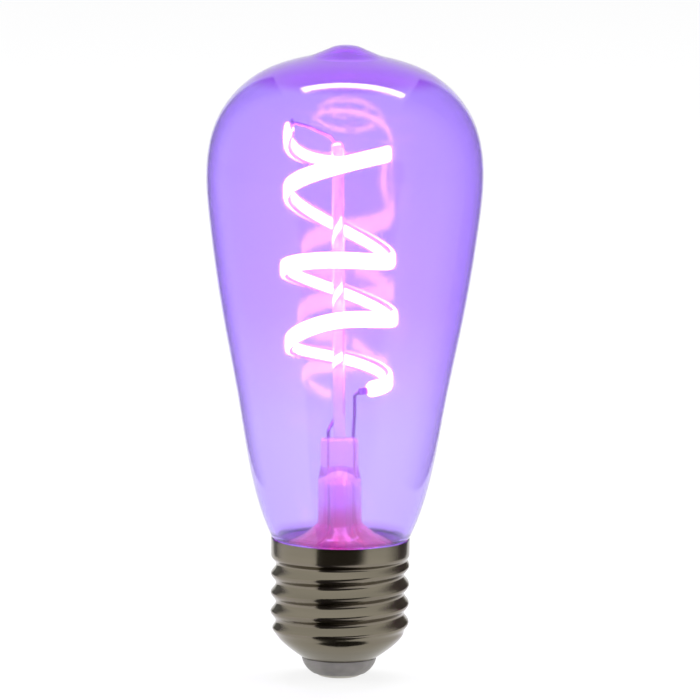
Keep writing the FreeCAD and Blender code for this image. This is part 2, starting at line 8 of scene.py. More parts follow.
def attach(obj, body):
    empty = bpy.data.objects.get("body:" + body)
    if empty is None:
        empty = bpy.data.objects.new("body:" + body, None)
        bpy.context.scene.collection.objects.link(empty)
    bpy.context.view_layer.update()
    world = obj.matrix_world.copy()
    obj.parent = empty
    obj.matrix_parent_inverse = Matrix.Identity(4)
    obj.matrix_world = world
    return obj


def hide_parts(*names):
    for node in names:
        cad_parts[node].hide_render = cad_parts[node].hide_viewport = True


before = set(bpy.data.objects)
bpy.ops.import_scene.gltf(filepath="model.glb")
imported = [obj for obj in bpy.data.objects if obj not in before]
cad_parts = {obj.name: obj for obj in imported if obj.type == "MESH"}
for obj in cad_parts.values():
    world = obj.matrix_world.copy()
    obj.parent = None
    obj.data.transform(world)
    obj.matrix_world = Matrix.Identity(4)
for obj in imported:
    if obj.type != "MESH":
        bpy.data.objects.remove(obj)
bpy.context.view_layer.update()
MM = 0.001

bl_info = {
    "name": "LED filament bulb",
    "version": (1, 0, 0),
    "blender": (4, 5, 0),
    "location": "3D View > Sidebar > Bulb",
    "description": "Dresses the bulb's frame with glass, a glowing strip, a plated cap and a stage",
    "category": "Object",
}

# Levels of the bulb, in millimetres above the surface that it stands on
TOP = 120.45
DOME = 119.2
WIDEST = 97.2
SHOULDER = 27.35
NECK_END = 20.95
PINCH_TOP = 46.0

# Outline of the glass: shares of the dome's radius and rise, from the top down to the widest circle
DOME_LINE = [(0.30, 0.948), (0.58, 0.836), (0.7785, 0.6645), (0.928, 0.407)]
# Shares of the body's narrowing and drop, from the widest circle down to the shoulder
BODY_LINE = [(0.05, 0.145), (0.271, 0.412), (0.50, 0.629), (0.721, 0.848), (0.8465, 0.9306)]
# Button on the dome: radius and depth below its top, in millimetres
BUTTON_LINE = [(0, 0), (2.2, 0.24), (3.9, 0.94), (5.2, 1.48)]
BUTTON_EDGE = 6.4         # radius past which the button has run out into the dome
# Steps in and down round the shoulder's lower edge
SHOULDER_EDGE = [(0.12, 0.36), (0.5, 0.5)]
NECK_TAPER = 2.3          # height over which the shoulder narrows to the neck
BODY_STEPS, BUTTON_STEPS = 120, 14
SPIN_STEPS = 128

# Route of the strip: radius, and height above the pinch, at every quarter turn
ROUTE = [(9.2, 57.14), (8.7, 51.85), (9.1, 54.16), (9.0, 53.03),
         (9.3, 47.18), (9.5, 39.24), (9.8, 34.34), (9.8, 35.58),
         (10.0, 32.65), (10.1, 26.97), (10.2, 23.25), (9.6, 24.15),
         (9.2, 18.35), (9.1, 14.36), (9.2, 11.49), (9.3, 10.64)]
FIRST_TURN = -22 / 90                 # quarter turns at which the strip starts and ends
LAST_TURN = len(ROUTE) - 2 + 57 / 90
LEAD_IN_RISE = 2.7                    # height gained over the part before the first quarter turn
FORWARD = 2.5                         # middle of the turns in front of the post
LEAN = math.radians(1.0)              # lean of the stem and all that it carries
STRIP_ROWS, STRIP_COLUMNS = 720, 28   # faces along the silicone and round it
STRIP_END_ROWS = 3                    # rows over which each end is rounded off
STRIP_SHIFT = 0.1                     # the silicone's middle outside the strip's middle line
STRIP_SQUARENESS = 0.55               # 1 gives an oval section, 0 a rectangle


# Settings

def length(name, about, value):
    """A length in metres."""
    return bpy.props.FloatProperty(name=name, description=about, default=value, unit="LENGTH",
                                   precision=5)


def hex_colour(name, place, code):
    """An sRGB colour, written as a hex code."""
    return bpy.props.StringProperty(name=name, description="sRGB hex colour of " + place,
                                    default=code)


class BulbGlassSettings(bpy.types.PropertyGroup):
    """Sizes and colours of the blown glass."""
    wall: length("Wall", "Thickness of the blown glass", 0.0008)
    widest: length("Widest diameter", "Outside of the glass at its widest", 0.0521)
    neck: length("Neck diameter", "Outside of the neck inside the cap's collar", 0.0231)
    shoulder: length("Shoulder diameter", "Outside of the glass above the cap", 0.0263)
    tint: hex_colour("Tint", "the upper half of the glass", "ECDFFF")
    tint_low: hex_colour("Lower tint", "the lower part of the glass", "F8F5FF")
    tint_top: hex_colour("Tint at the top", "the dome's top and its button", "D692F0")
    tint_seal: hex_colour("Tint at the seal", "the glass at the cap and inside it", "E2C6FA")
    stain: hex_colour("Stain", "the light that the wall lets through", "9C34FD")
    depth: bpy.props.FloatProperty(name="Stain depth", default=400.0,
                                   description="Absorption per metre of glass")
    clarity: bpy.props.FloatProperty(name="Clarity", default=0.985, min=0.5, max=1.0,
                                     description="Share of light that passes without haze",
                                     subtype="FACTOR")


class BulbFilamentSettings(bpy.types.PropertyGroup):
    """Sizes and light of the filament strip."""
    width: length("Strip width", "Width of the silicone round the strip", 0.0029)
    thickness: length("Strip thickness", "Thickness of the silicone", 0.0015)
    colour: hex_colour("Light colour", "the light", "FFB0FF")
    strength: bpy.props.FloatProperty(name="Light strength", default=38.0, min=0.0,
                                      description="Emission of the silicone's lit faces")


class BulbCapSettings(bpy.types.PropertyGroup):
    """Finish of the metal cap."""
    plating: hex_colour("Plating", "the black nickel", "777163")
    roughness: bpy.props.FloatProperty(name="Roughness", description="Roughness of the plating",
                                       default=0.16, min=0.0, max=1.0, subtype="FACTOR")


class BulbStageSettings(bpy.types.PropertyGroup):
    """Camera and floor."""
    distance: length("Camera distance", "From the camera to its aim", 1.5)
    elevation: bpy.props.FloatProperty(name="Camera elevation", default=math.radians(8.5),
                                       description="Angle of the camera above the aim",
                                       subtype="ANGLE")
    roll: bpy.props.FloatProperty(name="Camera roll", default=math.radians(0.72),
                                  description="Turn of the camera about its view axis",
                                  subtype="ANGLE")
    lens: bpy.props.FloatProperty(name="Lens", description="Focal length in millimetres",
                                  default=409.5)
    aim_side: length("Aim to the side", "Aim's place along X", 0.00135)
    aim_height: length("Aim height", "Aim's height above the floor", 0.0627)
    floor: hex_colour("Floor colour", "the floor", "F4F4F4")


# Colours, nodes and finishes

def linear(code, alpha=1.0):
    """Linear colour of an sRGB hex code."""
    parts = [int(code[i:i + 2], 16) / 255 for i in (0, 2, 4)]
    return [c / 12.92 if c <= 0.04045 else ((c + 0.055) / 1.055) ** 2.4 for c in parts] + [alpha]


def add(tree, kind, settings=None, **inputs):
    """Adds a node. An input is named with underscores for spaces, or numbered, as in i0.

    It takes a value, or the socket that feeds it.
    """
    node = tree.nodes.new("ShaderNode" + kind)
    for key, value in (settings or {}).items():
        setattr(node, key, value)
    for key, value in inputs.items():
        numbered = key[0] == "i" and key[1:].isdigit()
        socket = node.inputs[int(key[1:]) if numbered else key.replace("_", " ")]
        if isinstance(value, bpy.types.NodeSocket):
            tree.links.new(value, socket)
        else:
            socket.default_value = value
    return node


def new_material(name):
    """An empty node material, its tree and its output."""
    material = bpy.data.materials.new(name)
    material.use_nodes = True
    material.node_tree.nodes.clear()
    output = material.node_tree.nodes.new("ShaderNodeOutputMaterial")
    return material, material.node_tree, output


def place_map(tree, scale=(1, 1, 1)):
    """Object coordinates, stretched for a grain that runs one way."""
    where = add(tree, "TexCoord")
    return add(tree, "Mapping", Vector=where.outputs["Object"], Scale=scale).outputs["Vector"]


def height_of(tree, where):
    """Height above the surface that the bulb stands on, from object coordinates."""
    return add(tree, "SeparateXYZ", Vector=where).outputs["Z"]


def blend(tree, value, *stops):
    """A colour ramp along a value, with stops of (place, hex colour)."""
    ramp = add(tree, "ValToRGB", Fac=value)
    elements = ramp.color_ramp.elements
    for i, (place, code) in enumerate(stops):
        stop = elements[i] if i < 2 else elements.new(place)
        stop.position, stop.color = place, linear(code)
    return ramp.outputs["Color"]


def finish(name, first, second, grain_mm, roughness, metallic=0.0, bump_mm=0.0, stretch=(1, 1, 1)):
    """A moulded, plated or drawn surface: two close colours in clouds nine grains wide, a grain of
    a real size, and uneven gloss.
    """
    material, tree, output = new_material(name)
    where = place_map(tree, stretch)
    grain = add(tree, "TexNoise", Vector=where, Scale=1 / (grain_mm * MM), Detail=4.0)
    cloud = add(tree, "TexNoise", Vector=where, Scale=1 / (grain_mm * 9 * MM), Detail=2.0)
    colour = blend(tree, cloud.outputs["Fac"], (0.35, first), (0.65, second))
    gloss = add(tree, "MapRange", Value=grain.outputs["Fac"], To_Min=roughness * 0.8,
                To_Max=roughness * 1.25)
    shader = add(tree, "BsdfPrincipled", Base_Color=colour, Roughness=gloss.outputs["Result"],
                 Metallic=metallic)
    if bump_mm:
        relief = add(tree, "Bump", Height=grain.outputs["Fac"], Distance=bump_mm * MM, Strength=0.6)
        tree.links.new(relief.outputs["Normal"], shader.inputs["Normal"])
    tree.links.new(shader.outputs["BSDF"], output.inputs["Surface"])
    return material


def glass(tree, output, colour, waves, wave_mm, roughness, clarity):
    """Clear or tinted glass with a wavy face, where waves is a noise and wave_mm its height.

    Lamps and diffuse light pass it straight, and what the eye sees is left to the glass itself.
    """
    relief = add(tree, "Bump", Height=waves, Distance=wave_mm * MM, Strength=0.5)
    shader = add(tree, "BsdfPrincipled", Base_Color=colour, Roughness=roughness, IOR=1.5,
                 Transmission_Weight=clarity, Normal=relief.outputs["Normal"])
    ray = add(tree, "LightPath")
    either = add(tree, "Math", {"operation": "MAXIMUM"}, i0=ray.outputs["Is Shadow Ray"],
                 i1=ray.outputs["Is Diffuse Ray"])
    clear = add(tree, "BsdfTransparent", Color=colour)
    mix = add(tree, "MixShader", Fac=either.outputs[0], i1=shader.outputs["BSDF"],
              i2=clear.outputs["BSDF"])
    tree.links.new(mix.outputs["Shader"], output.inputs["Surface"])


def tinted_glass(settings):
    """Blown soda-lime glass, stained violet through its wall: smooth, slow waves, and deeper in
    colour where it is seen edge on.
    """
    material, tree, output = new_material("blown_violet_glass")
    where = add(tree, "TexCoord").outputs["Object"]
    wash = add(tree, "MapRange", Value=height_of(tree, where), From_Min=0.0, From_Max=0.12)
    # Stops are shares of 120 mm: the seal up to 27 mm, the lower glass from 28 to 48, the upper
    # glass from 72 to 113, and the dome's top above it
    tint = blend(tree, wash.outputs["Result"], (0.225, settings.tint_seal),
                 (0.236, settings.tint_low), (0.40, settings.tint_low), (0.60, settings.tint),
                 (0.942, settings.tint), (0.954, settings.tint_top))
    wave = add(tree, "TexNoise", Vector=where, Scale=1 / (26 * MM), Detail=1.0)
    glass(tree, output, tint, wave.outputs["Fac"], 0.05, 0.08, settings.clarity)
    stain = add(tree, "VolumeAbsorption", Color=linear(settings.stain), Density=settings.depth)
    tree.links.new(stain.outputs["Volume"], output.inputs["Volume"])
    return material


def lit_glass(name, colour, low_colour, clarity):
    """Stem glass, drawn and pressed: faint draw lines, and a slight haze that takes up the strip's
    light, in its own colour from about 37 mm up and in another from about 30 mm down. Where the
    lower colour is pink, it is painted glow of the strip's light.
    """
    material, tree, output = new_material(name)
    wave = add(tree, "TexNoise", Vector=place_map(tree, (1, 1, 0.15)), Scale=1 / (3 * MM),
               Detail=2.0)
    height = height_of(tree, add(tree, "TexCoord").outputs["Object"])
    # The border between the two colours wanders by a few millimetres
    patchy = add(tree, "Math", {"operation": "MULTIPLY_ADD"}, i0=wave.outputs["Fac"], i1=6 * MM,
                 i2=height)
    rise = add(tree, "MapRange", Value=patchy.outputs[0], From_Min=30 * MM, From_Max=37 * MM)
    # Below about 30 mm the glass takes the lower colour; a pink there is painted glow of the
    # strip's light
    haze = blend(tree, rise.outputs["Result"], (0.0, low_colour), (1.0, colour))
    glass(tree, output, haze, wave.outputs["Fac"], 0.06, 0.03, clarity)
    return material


def glowing_silicone(settings):
    """Phosphor silicone, cast round the strip: its outer face and the middle of its back glow
    white with faint clouds, and its edges stay dim, in a dark violet that is painted shade.
    """
    material, tree, output = new_material("cast_phosphor_silicone")
    glow = add(tree, "Attribute", {"attribute_name": "glow"}).outputs["Fac"]
    cloud = add(tree, "TexNoise", Vector=place_map(tree), Scale=1 / (1.4 * MM), Detail=2.0)
    cloudy = add(tree, "MapRange", Value=cloud.outputs["Fac"], To_Min=0.85, To_Max=1.15)
    bright = add(tree, "Math", {"operation": "MULTIPLY"}, i0=cloudy.outputs["Result"],
                 i1=settings.strength)
    level = add(tree, "MapRange", Value=glow, From_Min=0.1, From_Max=0.9, To_Min=0.9,
                To_Max=bright.outputs[0])
    # Pale phosphor where the silicone glows, and a dark violet on its dim edges that is painted
    # shade
    phosphor_and_painted_shade = blend(tree, glow, (0.0, "3A2448"), (1.0, "F6E6C8"))
    shader = add(tree, "BsdfPrincipled", Base_Color=phosphor_and_painted_shade, Roughness=0.45,
                 Emission_Color=linear(settings.colour), Emission_Strength=level.outputs["Result"])
    tree.links.new(shader.outputs["BSDF"], output.inputs["Surface"])
    return material


def dress(material, *nodes):
    """Gives CAD nodes their material."""
    for name in nodes:
        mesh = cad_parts[name].data
        mesh.materials.clear()
        mesh.materials.append(material)


# Modelling

def clear_selection():
    """Leaves edit mode with nothing selected."""
    if bpy.context.object and bpy.context.object.mode != "OBJECT":
        bpy.ops.object.mode_set(mode="OBJECT")
    bpy.ops.object.select_all(action="DESELECT")


def solve(lower, middle, upper, right):
    """Solves a row of equations that each link one value with its two neighbours."""
    for i in range(1, len(middle)):
        share = lower[i] / middle[i - 1]
        middle[i] -= share * upper[i - 1]
        right[i] = right[i] - share * right[i - 1]
    values = [right[-1] / middle[-1]]
    for i in range(len(middle) - 2, -1, -1):
        values.insert(0, (right[i] - upper[i] * values[0]) / middle[i])
    return values


def smooth_line(points, count, first, last):
    """Even points on a smooth curve through the given ones, with a direction at each end."""
    spots = [Vector(p) for p in points]
    steps = [(b - a).length for a, b in zip(spots, spots[1:])]
    n = len(spots)
    lower, middle, upper = [0.0] * n, [1.0] * n, [0.0] * n
    right = [Vector(first).normalized()] + [None] * (n - 2) + [Vector(last).normalized()]
    for i in range(1, n - 1):
        h, k = steps[i - 1], steps[i]
        lower[i], middle[i], upper[i] = k, 2 * (h + k), h
        right[i] = 3 * (k * (spots[i] - spots[i - 1]) / h + h * (spots[i + 1] - spots[i]) / k)
    slope = solve(lower, middle, upper, right)
    total = sum(steps)
    line, part, start = [], 0, 0.0
    for j in range(count + 1):
        at = total * j / count
        while part < n - 2 and at > start + steps[part]:
            start += steps[part]
            part += 1
        h = steps[part]
        t = min(1.0, (at - start) / h)
        a, b = spots[part], spots[part + 1]
        line.append((1 + 2 * t) * (1 - t) ** 2 * a + t * (1 - t) ** 2 * h * slope[part]
                    + t * t * (3 - 2 * t) * b + t * t * (t - 1) * h * slope[part + 1])
    return line


def smooth_law(pairs):
    """A value as a smooth function of another, through the given pairs, with free ends."""
    n = len(pairs)
    x, y = [p[0] for p in pairs], [p[1] for p in pairs]
    h = [b - a for a, b in zip(x, x[1:])]
    lower, middle, upper, right = [0.0] * n, [1.0] * n, [0.0] * n, [0.0] * n
    for i in range(1, n - 1):
        lower[i], middle[i], upper[i] = h[i - 1], 2 * (h[i - 1] + h[i]), h[i]
        right[i] = 6 * ((y[i + 1] - y[i]) / h[i] - (y[i] - y[i - 1]) / h[i - 1])
    bend = solve(lower, middle, upper, right)

    def value(at):
        i = max(k for k in range(n - 1) if x[k] <= at or k == 0)
        a, b = (x[i + 1] - at) / h[i], (at - x[i]) / h[i]
        curved = (a ** 3 - a) * bend[i] + (b ** 3 - b) * bend[i + 1]
        return a * y[i] + b * y[i + 1] + curved * h[i] ** 2 / 6

    return value


def inset_line(line, depth):
    """The same line moved to its right-hand side by a depth."""
    moved = []
    for i, spot in enumerate(line):
        ahead, behind = line[min(i + 1, len(line) - 1)], line[max(i - 1, 0)]
        along = (ahead - behind).normalized()
        moved.append(Vector((spot[0] + depth * along[1] if i else 0.0, spot[1] - depth * along[0])))
    return moved


def close_up(distance):
    """Merges doubles closer than a distance in edit mode, turns faces outwards, shades smooth."""
    bpy.ops.mesh.select_all(action="SELECT")
    bpy.ops.mesh.remove_doubles(threshold=distance)
    bpy.ops.mesh.normals_make_consistent(inside=False)
    bpy.ops.object.mode_set(mode="OBJECT")
    bpy.ops.object.shade_smooth()


def spun(name, section):
    """Draws a section of (radius, height) points by extruding a vertex, and spins it round the
    bulb's axis.
    """
    clear_selection()
    bpy.ops.mesh.primitive_plane_add(size=MM)
    piece = bpy.context.object
    piece.name = piece.data.name = name
    bpy.ops.object.mode_set(mode="EDIT")
    bpy.ops.mesh.merge(type="CENTER")
    bpy.ops.transform.translate(value=(section[0][0] * MM, 0, section[0][1] * MM))
    for a, b in zip(section, section[1:]):
        step = ((b[0] - a[0]) * MM, 0, (b[1] - a[1]) * MM)
        bpy.ops.mesh.extrude_region_move(TRANSFORM_OT_translate={"value": step})
    bpy.ops.mesh.select_all(action="SELECT")
    bpy.ops.mesh.spin(steps=SPIN_STEPS, angle=2 * math.pi, center=(0, 0, 0), axis=(0, 0, 1))
    close_up(0.02 * MM)
    return piece


def wrapped(name, columns, rows, place, glow):
    """A grid wrapped into a closed tube. For a share round it and a share along it, place gives
    the spot and glow the level of the attribute of that name.
    """
    clear_selection()
    bpy.ops.mesh.primitive_grid_add(x_subdivisions=columns, y_subdivisions=rows, size=1.0)
    piece = bpy.context.object
    piece.name = piece.data.name = name
    mesh = piece.data
    shares = [(v.co.x + 0.5, v.co.y + 0.5) for v in mesh.vertices]
    shares = [(u % 1.0 if u < 0.99999 else 0.0, v) for u, v in shares]
    for vertex, (u, v) in zip(mesh.vertices, shares):
        vertex.co = place(u, v)
    level = mesh.attributes.new("glow", "FLOAT", "POINT")
    level.data.foreach_set("value", [glow(u, v) for u, v in shares])
    bpy.ops.object.mode_set(mode="EDIT")
    close_up(0.004 * MM)
    return piece


def settle(piece, material, node):
    """Gives a finished piece its material, and puts it on the frame in place of its CAD node."""
    piece.data.materials.clear()
    piece.data.materials.append(material)
    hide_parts(node)
    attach(piece, "root")
    clear_selection()


# Glass envelope

def envelope_section(settings):
    """Outside from the button on the dome down to the neck's end, and back up the inside."""
    r = settings.widest / 2 / MM
    wall = settings.wall / MM
    foot = settings.shoulder / 2 / MM
    neck = settings.neck / 2 / MM
    rise, drop, slim = DOME - WIDEST, WIDEST - SHOULDER, r - foot
    points = [(0, DOME)] + [(r * a, WIDEST + rise * b) for a, b in DOME_LINE] + [(r, WIDEST)]
    points += [(r - slim * a, WIDEST - drop * b) for a, b in BODY_LINE] + [(foot, SHOULDER)]
    body = smooth_line(points, BODY_STEPS, (1, 0), (-0.5, -1))
    join = next(p for p in body if p[0] > BUTTON_EDGE)
    button = smooth_line([(a, TOP - b) for a, b in BUTTON_LINE] + [join], BUTTON_STEPS, (1, 0),
                         (1, -0.22))
    outside = button + [p for p in body if p[0] > join[0]]
    inside = inset_line(outside, wall)
    neck_start = SHOULDER - NECK_TAPER
    outside += [Vector((foot - a, SHOULDER - b)) for a, b in SHOULDER_EDGE]
    outside += [Vector((neck, neck_start)), Vector((neck, NECK_END))]
    outside += [Vector((neck - wall, NECK_END)), Vector((neck - wall, neck_start))]
    return outside + inside[::-1]


class BULB_OT_envelope(bpy.types.Operator):
    """Blow the glass envelope"""
    bl_idname = "bulb.envelope"
    bl_label = "Glass envelope"

    def execute(self, context):
        settings = context.scene.bulb_glass
        piece = spun("envelope", envelope_section(settings))
        settle(piece, tinted_glass(settings), "glass_envelope")
        return {"FINISHED"}


# Filament strip

def leaning(spot):
    """A spot in millimetres, leaning with the stem about the middle of the neck's end."""
    x, z = spot[0], spot[2] - NECK_END
    return Vector((x * math.cos(LEAN) - z * math.sin(LEAN), spot[1],
                   NECK_END + x * math.sin(LEAN) + z * math.cos(LEAN)))


def strip_line(count):
    """The strip's middle line: radius and height change smoothly as it winds round the post."""
    knots = [(FIRST_TURN, ROUTE[0][0], ROUTE[0][1] + LEAD_IN_RISE)]
    knots += [(float(i), r, z) for i, (r, z) in enumerate(ROUTE)]
    radius_at = smooth_law([(turn, r) for turn, r, _ in knots])
    height_at = smooth_law([(turn, z) for turn, _, z in knots])
    line = []
    for i in range(count + 1):
        turn = FIRST_TURN + (LAST_TURN - FIRST_TURN) * i / count
        radius, bearing = radius_at(turn), math.radians(180 - 90 * turn)
        line.append(Vector((radius * math.cos(bearing), radius * math.sin(bearing) - FORWARD,
                            PINCH_TOP + height_at(turn))))
    return line


class BULB_OT_filament(bpy.types.Operator):
    """Cast the glowing silicone round the wound strip"""
    bl_idname = "bulb.filament"
    bl_label = "Filament strip"

    def execute(self, context):
        settings = context.scene.bulb_filament
        rows = STRIP_ROWS
        line = strip_line(rows)
        half_width, half_thickness = settings.width / MM / 2, settings.thickness / MM / 2

        def section(u):
            """Outward and upward offsets from the middle of a rounded band."""
            angle = 2 * math.pi * u
            c, s = math.cos(angle), math.sin(angle)
            return (math.copysign(abs(c) ** STRIP_SQUARENESS, c) * half_thickness,
                    math.copysign(abs(s) ** STRIP_SQUARENESS, s) * half_width)

        def place(u, v):
            i = min(rows, int(round(v * rows)))
            along = (line[min(i + 1, rows)] - line[max(i - 1, 0)]).normalized()
            out = along.cross(Vector((0, 0, 1))).normalized()
            if out.dot(Vector((line[i].x, line[i].y, 0))) < 0:
                out = -out
            up = out.cross(along).normalized()
            up = up if up.z > 0 else -up
            from_end = min(i, rows - i, STRIP_END_ROWS) / STRIP_END_ROWS
            size = math.sqrt(1 - (1 - from_end) ** 2)
            a, b = section(u)
            return leaning(line[i] + out * (STRIP_SHIFT + a * size) + up * b * size) * MM

        def glow(u, v):
            """1 on the outer face and on the middle of the back, 0 on the edges."""
            a, b = section(u)
            outer_face = a / half_thickness > 0.35
            back_middle = a < 0 and abs(b) / half_width < 0.45
            return 1.0 if outer_face or back_middle else 0.0

        piece = wrapped("filament", STRIP_COLUMNS, rows, place, glow)
        settle(piece, glowing_silicone(settings), "filament_coating")
        return {"FINISHED"}


# Finishes of the CAD nodes that stay

class BULB_OT_cap(bpy.types.Operator):
    """Plate the cap, and finish the insulator and the contact"""
    bl_idname = "bulb.cap"
    bl_label = "Cap"

    def execute(self, context):
        settings = context.scene.bulb_cap
        # Black nickel on rolled sheet: dark, glossy, with faint lines round it from the rolling
        dress(finish("black_nickel_plated_sheet", settings.plating, "827B6C", grain_mm=0.9,
                     roughness=settings.roughness, metallic=1.0, bump_mm=0.004,
                     stretch=(0.25, 0.25, 2.0)), "cap_shell")
        # Grey glass bead, fused and moulded: satin, finely speckled
        dress(finish("moulded_bead_glass", "6E6B67", "7C7974", grain_mm=0.35, roughness=0.38,
                     bump_mm=0.02), "cap_insulator")
        # Nickel-plated brass, pressed: bright, with fine scuffs
        dress(finish("pressed_contact_plate", "A7A49C", "B8B4AA", grain_mm=0.4, roughness=0.3,
                     metallic=1.0, bump_mm=0.01), "contact_plate")
        # Tin solder, set from a drop: bright with soft ripples
        dress(finish("set_tin_solder", "B9B9B6", "CFCFCB", grain_mm=0.5, roughness=0.28,
                     metallic=1.0, bump_mm=0.05), "centre_solder")
        # Capping cement, baked: matt and grainy; its pink cast is painted glow of the strip's light
        # over the cement's own beige
        dress(finish("baked_cement", "D8A79A", "E6B8AA", grain_mm=0.25, roughness=0.85,
                     bump_mm=0.05), "cement_ring")
        return {"FINISHED"}


class BULB_OT_stem(bpy.types.Operator):
    """Finish the stem, its leads and the strip's carrier"""
    bl_idname = "bulb.stem"
    bl_label = "Stem and leads"

    def execute(self, context):
        # Pressed glass: pale violet haze above, and a red-pink in the flare that is painted glow of
        # the strip's light
        dress(lit_glass("pressed_stem_glass", "FFE2FF", "FF86B4", 0.74),
              "stem_glass", "exhaust_tube")
        # Drawn rod: one pale haze from end to end
        dress(lit_glass("drawn_rod_glass", "FBEFFB", "FBEFFB", 0.8), "centre_post")
        # Nickel wire, drawn: satin with fine lines along it; its violet colour is painted light,
        # the strip's glow on the wire
        dress(finish("drawn_nickel_wire", "9A6FB8", "B48CCB", grain_mm=0.12, roughness=0.42,
                     metallic=1.0, bump_mm=0.004, stretch=(1, 1, 0.1)),
              "lead_long", "lead_short", "filament_tab_top", "filament_tab_bottom")
        # Copper-clad wire, oxidised red where the glass wets it
        dress(finish("copper_clad_wire", "A5523C", "B96A4E", grain_mm=0.15, roughness=0.4,
                     metallic=1.0), "seal_wire_long", "seal_wire_short")
        # Tinned copper, drawn: pale and fairly bright, with fine lines along it
        dress(finish("tinned_copper_wire", "C4BEB6", "D6D1C9", grain_mm=0.15, roughness=0.3,
                     metallic=1.0, bump_mm=0.004, stretch=(1, 1, 0.1)),
              "outer_lead_long", "outer_lead_short")
        # Polyimide strip, printed with a white mask: smooth, half matt
        dress(finish("printed_flexible_strip", "F0ECE4", "FAF7F0", grain_mm=0.3, roughness=0.5),
              "filament_carrier")
        # Sapphire chips, diced: smooth and pale blue
        dress(finish("diced_sapphire_chip", "A9B6E8", "C2CCF4", grain_mm=0.2, roughness=0.15),
              "led_chips")
        return {"FINISHED"}


class BULB_OT_driver(bpy.types.Operator):
    """Finish the driver's board and parts in the cap"""
    bl_idname = "bulb.driver"
    bl_label = "Driver"

    def execute(self, context):
        # Glass-fibre board with a green mask: faintly uneven under the gloss
        dress(finish("masked_fibre_board", "2F6B45", "38784E", grain_mm=0.3, roughness=0.35,
                     bump_mm=0.01), "driver_board")
        # Black epoxy, moulded: matt with a fine spark-eroded texture
        dress(finish("moulded_black_epoxy", "1D1D1F", "29292B", grain_mm=0.08, roughness=0.55,
                     bump_mm=0.008), "rectifier", "driver_chip")
        # Thick-film resistor, fired and glazed: smooth and glossy
        dress(finish("glazed_chip_resistor", "262629", "34343A", grain_mm=0.2, roughness=0.3),
              "chip_resistors")
        # PET sleeve, shrunk over an aluminium can: smooth and glossy
        dress(finish("shrunk_can_sleeve", "2A2C44", "343752", grain_mm=0.6, roughness=0.3),
              "capacitor")
        # Cement-coated resistor body, dipped: matt and a little lumpy
        dress(finish("dipped_resistor_coat", "6F7F8F", "7F8F9E", grain_mm=0.3, roughness=0.5,
                     bump_mm=0.02), "fuse_resistor")
        # Tinned copper, drawn: pale and fairly bright
        dress(finish("tinned_mains_wire", "C4BEB6", "D6D1C9", grain_mm=0.15, roughness=0.3,
                     metallic=1.0), "contact_wire", "shell_wire")
        return {"FINISHED"}


# Stage

def seen_white(tree, shader, share=1.0):
    """White to the camera and through glass or in metal, over a shader that lights and takes
    shadows.
    """
    ray = add(tree, "LightPath")
    eye = add(tree, "Math", {"operation": "MAXIMUM"}, i0=ray.outputs["Is Camera Ray"],
              i1=ray.outputs["Is Glossy Ray"])
    any_eye = add(tree, "Math", {"operation": "MAXIMUM"}, i0=eye.outputs[0],
                  i1=ray.outputs["Is Transmission Ray"])
    part = add(tree, "Math", {"operation": "MULTIPLY"}, i0=any_eye.outputs[0], i1=share)
    white = add(tree, "Emission", Color=(1, 1, 1, 1), Strength=1.0)
    return add(tree, "MixShader", Fac=part.outputs[0], i1=shader, i2=white.outputs["Emission"])


def area_lamp(name, spot, aim, size, power, reflected=False):
    """A soft rectangular lamp that points at a spot. Glass and metal mirror it if reflected."""
    data = bpy.data.lights.new(name, "AREA")
    data.shape = "RECTANGLE"
    data.size, data.size_y = size
    data.energy = power
    lamp = bpy.data.objects.new(name, data)
    bpy.context.scene.collection.objects.link(lamp)
    lamp.location = spot
    lamp.rotation_euler = (Vector(aim) - Vector(spot)).to_track_quat("-Z", "Y").to_euler()
    lamp.visible_camera = False
    lamp.visible_glossy = lamp.visible_transmission = reflected


def upright(start, end, height):
    """Corners of a card that stands on the floor between two spots."""
    return [(*spot, level) for level in (0, height) for spot in (start, end)]


def dark_card(name, corners, tone, edge):
    """A matt painted card, which only shows as the dark part of a reflection.

    Its corners are near left, near right, far left and far right, or bottom and then top where it
    stands. It fades out to its left and right over a share of its width.
    """
    clear_selection()
    bpy.ops.mesh.primitive_plane_add(size=1.0)
    card = bpy.context.object
    card.name = card.data.name = name
    for vertex, corner in zip(card.data.vertices, corners):
        vertex.co = corner
    material, tree, output = new_material("matt_" + name)
    uv = add(tree, "TexCoord").outputs["UV"]
    across = add(tree, "SeparateXYZ", Vector=uv).outputs["X"]
    off_middle = add(tree, "Math", {"operation": "SUBTRACT"}, i0=across, i1=0.5)
    side = add(tree, "Math", {"operation": "ABSOLUTE"}, i0=off_middle.outputs[0])
    fade = add(tree, "MapRange", {"interpolation_type": "SMOOTHSTEP"}, Value=side.outputs[0],
               From_Min=0.5, From_Max=0.5 - edge)
    paint = add(tree, "BsdfDiffuse", Color=linear(tone))
    clear = add(tree, "BsdfTransparent")
    soft = add(tree, "MixShader", Fac=fade.outputs["Result"], i1=clear.outputs["BSDF"],
               i2=paint.outputs["BSDF"])
    tree.links.new(soft.outputs["Shader"], output.inputs["Surface"])
    card.data.materials.append(material)
    card.visible_camera = card.visible_transmission = False
    card.visible_diffuse = card.visible_shadow = False


def build_floor(settings):
    """A pale matt floor that is nearly white to the eye and takes a soft shadow."""
    clear_selection()
    bpy.ops.mesh.primitive_circle_add(vertices=96, radius=6.0, fill_type="NGON",
                                      location=(0, 0, 0))
    floor = bpy.context.object
    floor.name = floor.data.name = "floor"
    material, tree, output = new_material("matt_pale_floor")
    paint = add(tree, "BsdfDiffuse", Color=linear(settings.floor))
    mix = seen_white(tree, paint.outputs["BSDF"], 0.8)
    tree.links.new(mix.outputs["Shader"], output.inputs["Surface"])
    floor.data.materials.append(material)


